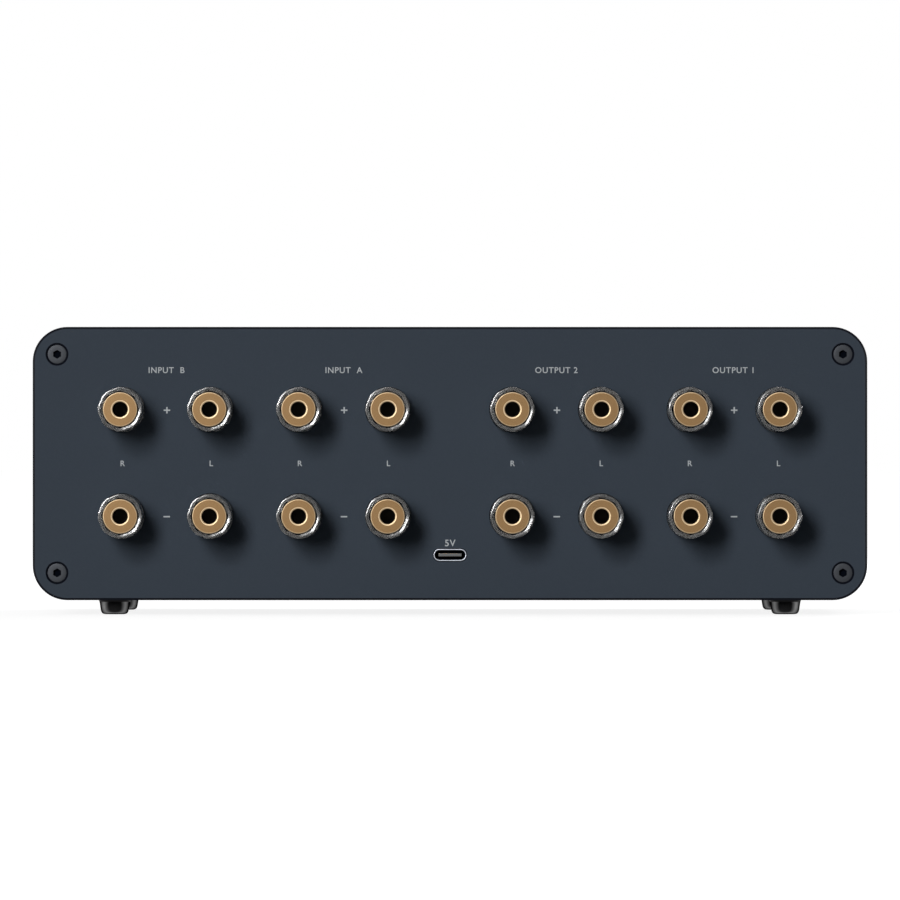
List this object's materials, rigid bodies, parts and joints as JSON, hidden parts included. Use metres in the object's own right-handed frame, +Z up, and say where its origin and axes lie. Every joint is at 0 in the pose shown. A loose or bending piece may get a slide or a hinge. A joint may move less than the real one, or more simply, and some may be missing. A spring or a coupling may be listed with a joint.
{
  "type": "amplifier and loudspeaker selector",
  "caption": "Desktop box that switches stereo amplifiers between pairs of loudspeakers, with clear-capped binding posts on the back and level meters with selector knobs in front.",
  "frame": {"origin": "on the table, under the middle of the whole object", "axes": "+X along the case, to the right as seen from the front; +Y out of the back; +Z up"},
  "size_m": [0.226, 0.167, 0.078],
  "materials": {
    "case_paint": "fine satin, anodised dark",
    "panel_paint": "fine satin, anodised slate grey",
    "black_steel": "black oxide",
    "foot_rubber": "matt",
    "collar_plastic": "smoky clear",
    "gold_plate": "gold plated",
    "clear_plastic": "polished clear",
    "plated_brass": "plain",
    "tinned_steel": "tinned",
    "tongue_plastic": "matt",
    "board_laminate": "lacquered",
    "relay_plastic": "moulded",
    "plug_plastic": "moulded",
    "ribbon_plastic": "matt",
    "window_pane": "polished clear",
    "meter_plastic": "moulded",
    "dial_paint": "printed card",
    "magnet_iron": "sintered",
    "switch_metal": "plain",
    "needle_paint": "satin black",
    "knob_aluminium": "dark anodised"
  },
  "bodies": {
    "case": {"housing": "case_paint", "rear_panel": "panel_paint", "front_panel": "panel_paint", "panel_screws": "black_steel", "feet": "foot_rubber", "post_collars": "collar_plastic", "post_stems": "gold_plate", "post_fixing_nuts": "plated_brass", "inlet_shell": "tinned_steel", "inlet_tongue": "tongue_plastic", "inlet_board": "board_laminate", "rear_board": "board_laminate", "relays": "relay_plastic", "front_board": "board_laminate", "ribbon_plugs": "plug_plastic", "ribbon_cable": "ribbon_plastic", "meter_panes": "window_pane", "meter_cases": "meter_plastic", "meter_dials": "dial_paint", "meter_movements": "magnet_iron", "selector_switches": "switch_metal", "bushing_nuts": "tinned_steel"},
    "amp_a_left_minus_travel": {"amp_a_left_minus_sleeve": "gold_plate"},
    "amp_a_left_minus_turn": {"amp_a_left_minus_grip": "clear_plastic"},
    "amp_a_left_plus_travel": {"amp_a_left_plus_sleeve": "gold_plate"},
    "amp_a_left_plus_turn": {"amp_a_left_plus_grip": "clear_plastic"},
    "amp_a_right_minus_travel": {"amp_a_right_minus_sleeve": "gold_plate"},
    "amp_a_right_minus_turn": {"amp_a_right_minus_grip": "clear_plastic"},
    "amp_a_right_plus_travel": {"amp_a_right_plus_sleeve": "gold_plate"},
    "amp_a_right_plus_turn": {"amp_a_right_plus_grip": "clear_plastic"},
    "amp_b_left_minus_travel": {"amp_b_left_minus_sleeve": "gold_plate"},
    "amp_b_left_minus_turn": {"amp_b_left_minus_grip": "clear_plastic"},
    "amp_b_left_plus_travel": {"amp_b_left_plus_sleeve": "gold_plate"},
    "amp_b_left_plus_turn": {"amp_b_left_plus_grip": "clear_plastic"},
    "amp_b_right_minus_travel": {"amp_b_right_minus_sleeve": "gold_plate"},
    "amp_b_right_minus_turn": {"amp_b_right_minus_grip": "clear_plastic"},
    "amp_b_right_plus_travel": {"amp_b_right_plus_sleeve": "gold_plate"},
    "amp_b_right_plus_turn": {"amp_b_right_plus_grip": "clear_plastic"},
    "speaker_2_right_minus_travel": {"speaker_2_right_minus_sleeve": "gold_plate"},
    "speaker_2_right_minus_turn": {"speaker_2_right_minus_grip": "clear_plastic"},
    "speaker_2_right_plus_travel": {"speaker_2_right_plus_sleeve": "gold_plate"},
    "speaker_2_right_plus_turn": {"speaker_2_right_plus_grip": "clear_plastic"},
    "speaker_2_left_minus_travel": {"speaker_2_left_minus_sleeve": "gold_plate"},
    "speaker_2_left_minus_turn": {"speaker_2_left_minus_grip": "clear_plastic"},
    "speaker_2_left_plus_travel": {"speaker_2_left_plus_sleeve": "gold_plate"},
    "speaker_2_left_plus_turn": {"speaker_2_left_plus_grip": "clear_plastic"},
    "speaker_1_right_minus_travel": {"speaker_1_right_minus_sleeve": "gold_plate"},
    "speaker_1_right_minus_turn": {"speaker_1_right_minus_grip": "clear_plastic"},
    "speaker_1_right_plus_travel": {"speaker_1_right_plus_sleeve": "gold_plate"},
    "speaker_1_right_plus_turn": {"speaker_1_right_plus_grip": "clear_plastic"},
    "speaker_1_left_minus_travel": {"speaker_1_left_minus_sleeve": "gold_plate"},
    "speaker_1_left_minus_turn": {"speaker_1_left_minus_grip": "clear_plastic"},
    "speaker_1_left_plus_travel": {"speaker_1_left_plus_sleeve": "gold_plate"},
    "speaker_1_left_plus_turn": {"speaker_1_left_plus_grip": "clear_plastic"},
    "left_needle": {"left_needle": "needle_paint"},
    "right_needle": {"right_needle": "needle_paint"},
    "amplifier_selector": {"amplifier_knob": "knob_aluminium", "amplifier_shaft": "plated_brass"},
    "speaker_selector": {"speaker_knob": "knob_aluminium", "speaker_shaft": "plated_brass"}
  },
  "joints": [
    {"name": "amp_a_left_minus_lift", "type": "slide", "parent": "case", "child": "amp_a_left_minus_travel", "axis": [0, 1, 0], "range_m": [0, 0.006]},
    {"name": "amp_a_left_minus_unscrew", "type": "hinge", "parent": "amp_a_left_minus_travel", "child": "amp_a_left_minus_turn", "pos_m": [0.0168, 0.0625, 0.0268], "axis": [0, 1, 0], "range_deg": [0, 2160]},
    {"name": "amp_a_left_plus_lift", "type": "slide", "parent": "case", "child": "amp_a_left_plus_travel", "axis": [0, 1, 0], "range_m": [0, 0.006]},
    {"name": "amp_a_left_plus_unscrew", "type": "hinge", "parent": "amp_a_left_plus_travel", "child": "amp_a_left_plus_turn", "pos_m": [0.0168, 0.0625, 0.0556], "axis": [0, 1, 0], "range_deg": [0, 2160]},
    {"name": "amp_a_right_minus_lift", "type": "slide", "parent": "case", "child": "amp_a_right_minus_travel", "axis": [0, 1, 0], "range_m": [0, 0.006]},
    {"name": "amp_a_right_minus_unscrew", "type": "hinge", "parent": "amp_a_right_minus_travel", "child": "amp_a_right_minus_turn", "pos_m": [0.0408, 0.0625, 0.0268], "axis": [0, 1, 0], "range_deg": [0, 2160]},
    {"name": "amp_a_right_plus_lift", "type": "slide", "parent": "case", "child": "amp_a_right_plus_travel", "axis": [0, 1, 0], "range_m": [0, 0.006]},
    {"name": "amp_a_right_plus_unscrew", "type": "hinge", "parent": "amp_a_right_plus_travel", "child": "amp_a_right_plus_turn", "pos_m": [0.0408, 0.0625, 0.0556], "axis": [0, 1, 0], "range_deg": [0, 2160]},
    {"name": "amp_b_left_minus_lift", "type": "slide", "parent": "case", "child": "amp_b_left_minus_travel", "axis": [0, 1, 0], "range_m": [0, 0.006]},
    {"name": "amp_b_left_minus_unscrew", "type": "hinge", "parent": "amp_b_left_minus_travel", "child": "amp_b_left_minus_turn", "pos_m": [0.0648, 0.0625, 0.0268], "axis": [0, 1, 0], "range_deg": [0, 2160]},
    {"name": "amp_b_left_plus_lift", "type": "slide", "parent": "case", "child": "amp_b_left_plus_travel", "axis": [0, 1, 0], "range_m": [0, 0.006]},
    {"name": "amp_b_left_plus_unscrew", "type": "hinge", "parent": "amp_b_left_plus_travel", "child": "amp_b_left_plus_turn", "pos_m": [0.0648, 0.0625, 0.0556], "axis": [0, 1, 0], "range_deg": [0, 2160]},
    {"name": "amp_b_right_minus_lift", "type": "slide", "parent": "case", "child": "amp_b_right_minus_travel", "axis": [0, 1, 0], "range_m": [0, 0.006]},
    {"name": "amp_b_right_minus_unscrew", "type": "hinge", "parent": "amp_b_right_minus_travel", "child": "amp_b_right_minus_turn", "pos_m": [0.0888, 0.0625, 0.0268], "axis": [0, 1, 0], "range_deg": [0, 2160]},
    {"name": "amp_b_right_plus_lift", "type": "slide", "parent": "case", "child": "amp_b_right_plus_travel", "axis": [0, 1, 0], "range_m": [0, 0.006]},
    {"name": "amp_b_right_plus_unscrew", "type": "hinge", "parent": "amp_b_right_plus_travel", "child": "amp_b_right_plus_turn", "pos_m": [0.0888, 0.0625, 0.0556], "axis": [0, 1, 0], "range_deg": [0, 2160]},
    {"name": "speaker_2_right_minus_lift", "type": "slide", "parent": "case", "child": "speaker_2_right_minus_travel", "axis": [0, 1, 0], "range_m": [0, 0.006]},
    {"name": "speaker_2_right_minus_unscrew", "type": "hinge", "parent": "speaker_2_right_minus_travel", "child": "speaker_2_right_minus_turn", "pos_m": [-0.0168, 0.0625, 0.0268], "axis": [0, 1, 0], "range_deg": [0, 2160]},
    {"name": "speaker_2_right_plus_lift", "type": "slide", "parent": "case", "child": "speaker_2_right_plus_travel", "axis": [0, 1, 0], "range_m": [0, 0.006]},
    {"name": "speaker_2_right_plus_unscrew", "type": "hinge", "parent": "speaker_2_right_plus_travel", "child": "speaker_2_right_plus_turn", "pos_m": [-0.0168, 0.0625, 0.0556], "axis": [0, 1, 0], "range_deg": [0, 2160]},
    {"name": "speaker_2_left_minus_lift", "type": "slide", "parent": "case", "child": "speaker_2_left_minus_travel", "axis": [0, 1, 0], "range_m": [0, 0.006]},
    {"name": "speaker_2_left_minus_unscrew", "type": "hinge", "parent": "speaker_2_left_minus_travel", "child": "speaker_2_left_minus_turn", "pos_m": [-0.0408, 0.0625, 0.0268], "axis": [0, 1, 0], "range_deg": [0, 2160]},
    {"name": "speaker_2_left_plus_lift", "type": "slide", "parent": "case", "child": "speaker_2_left_plus_travel", "axis": [0, 1, 0], "range_m": [0, 0.006]},
    {"name": "speaker_2_left_plus_unscrew", "type": "hinge", "parent": "speaker_2_left_plus_travel", "child": "speaker_2_left_plus_turn", "pos_m": [-0.0408, 0.0625, 0.0556], "axis": [0, 1, 0], "range_deg": [0, 2160]},
    {"name": "speaker_1_right_minus_lift", "type": "slide", "parent": "case", "child": "speaker_1_right_minus_travel", "axis": [0, 1, 0], "range_m": [0, 0.006]},
    {"name": "speaker_1_right_minus_unscrew", "type": "hinge", "parent": "speaker_1_right_minus_travel", "child": "speaker_1_right_minus_turn", "pos_m": [-0.0648, 0.0625, 0.0268], "axis": [0, 1, 0], "range_deg": [0, 2160]},
    {"name": "speaker_1_right_plus_lift", "type": "slide", "parent": "case", "child": "speaker_1_right_plus_travel", "axis": [0, 1, 0], "range_m": [0, 0.006]},
    {"name": "speaker_1_right_plus_unscrew", "type": "hinge", "parent": "speaker_1_right_plus_travel", "child": "speaker_1_right_plus_turn", "pos_m": [-0.0648, 0.0625, 0.0556], "axis": [0, 1, 0], "range_deg": [0, 2160]},
    {"name": "speaker_1_left_minus_lift", "type": "slide", "parent": "case", "child": "speaker_1_left_minus_travel", "axis": [0, 1, 0], "range_m": [0, 0.006]},
    {"name": "speaker_1_left_minus_unscrew", "type": "hinge", "parent": "speaker_1_left_minus_travel", "child": "speaker_1_left_minus_turn", "pos_m": [-0.0888, 0.0625, 0.0268], "axis": [0, 1, 0], "range_deg": [0, 2160]},
    {"name": "speaker_1_left_plus_lift", "type": "slide", "parent": "case", "child": "speaker_1_left_plus_travel", "axis": [0, 1, 0], "range_m": [0, 0.006]},
    {"name": "speaker_1_left_plus_unscrew", "type": "hinge", "parent": "speaker_1_left_plus_travel", "child": "speaker_1_left_plus_turn", "pos_m": [-0.0888, 0.0625, 0.0556], "axis": [0, 1, 0], "range_deg": [0, 2160]},
    {"name": "left_needle_swing", "type": "hinge", "parent": "case", "child": "left_needle", "pos_m": [-0.034, -0.0575, 0.028], "axis": [0, 1, 0], "range_deg": [0, 84], "stiffness_Nm_per_rad": 0.00002, "springref_deg": -34.38},
    {"name": "right_needle_swing", "type": "hinge", "parent": "case", "child": "right_needle", "pos_m": [0.034, -0.0575, 0.028], "axis": [0, 1, 0], "range_deg": [0, 84], "stiffness_Nm_per_rad": 0.00002, "springref_deg": -34.38},
    {"name": "amplifier_select", "type": "hinge", "parent": "case", "child": "amplifier_selector", "pos_m": [-0.09, -0.0675, 0.041], "axis": [0, 1, 0], "range_deg": [0, 60]},
    {"name": "speaker_select", "type": "hinge", "parent": "case", "child": "speaker_selector", "pos_m": [0.09, -0.0675, 0.041], "axis": [0, 1, 0], "range_deg": [-45, 45]}
  ],
  "couplings": [
    {"joint": "amp_a_left_minus_unscrew", "follows": "amp_a_left_minus_lift", "rad_per_m": 6283.2},
    {"joint": "amp_a_left_plus_unscrew", "follows": "amp_a_left_plus_lift", "rad_per_m": 6283.2},
    {"joint": "amp_a_right_minus_unscrew", "follows": "amp_a_right_minus_lift", "rad_per_m": 6283.2},
    {"joint": "amp_a_right_plus_unscrew", "follows": "amp_a_right_plus_lift", "rad_per_m": 6283.2},
    {"joint": "amp_b_left_minus_unscrew", "follows": "amp_b_left_minus_lift", "rad_per_m": 6283.2},
    {"joint": "amp_b_left_plus_unscrew", "follows": "amp_b_left_plus_lift", "rad_per_m": 6283.2},
    {"joint": "amp_b_right_minus_unscrew", "follows": "amp_b_right_minus_lift", "rad_per_m": 6283.2},
    {"joint": "amp_b_right_plus_unscrew", "follows": "amp_b_right_plus_lift", "rad_per_m": 6283.2},
    {"joint": "speaker_2_right_minus_unscrew", "follows": "speaker_2_right_minus_lift", "rad_per_m": 6283.2},
    {"joint": "speaker_2_right_plus_unscrew", "follows": "speaker_2_right_plus_lift", "rad_per_m": 6283.2},
    {"joint": "speaker_2_left_minus_unscrew", "follows": "speaker_2_left_minus_lift", "rad_per_m": 6283.2},
    {"joint": "speaker_2_left_plus_unscrew", "follows": "speaker_2_left_plus_lift", "rad_per_m": 6283.2},
    {"joint": "speaker_1_right_minus_unscrew", "follows": "speaker_1_right_minus_lift", "rad_per_m": 6283.2},
    {"joint": "speaker_1_right_plus_unscrew", "follows": "speaker_1_right_plus_lift", "rad_per_m": 6283.2},
    {"joint": "speaker_1_left_minus_unscrew", "follows": "speaker_1_left_minus_lift", "rad_per_m": 6283.2},
    {"joint": "speaker_1_left_plus_unscrew", "follows": "speaker_1_left_plus_lift", "rad_per_m": 6283.2}
  ]
}
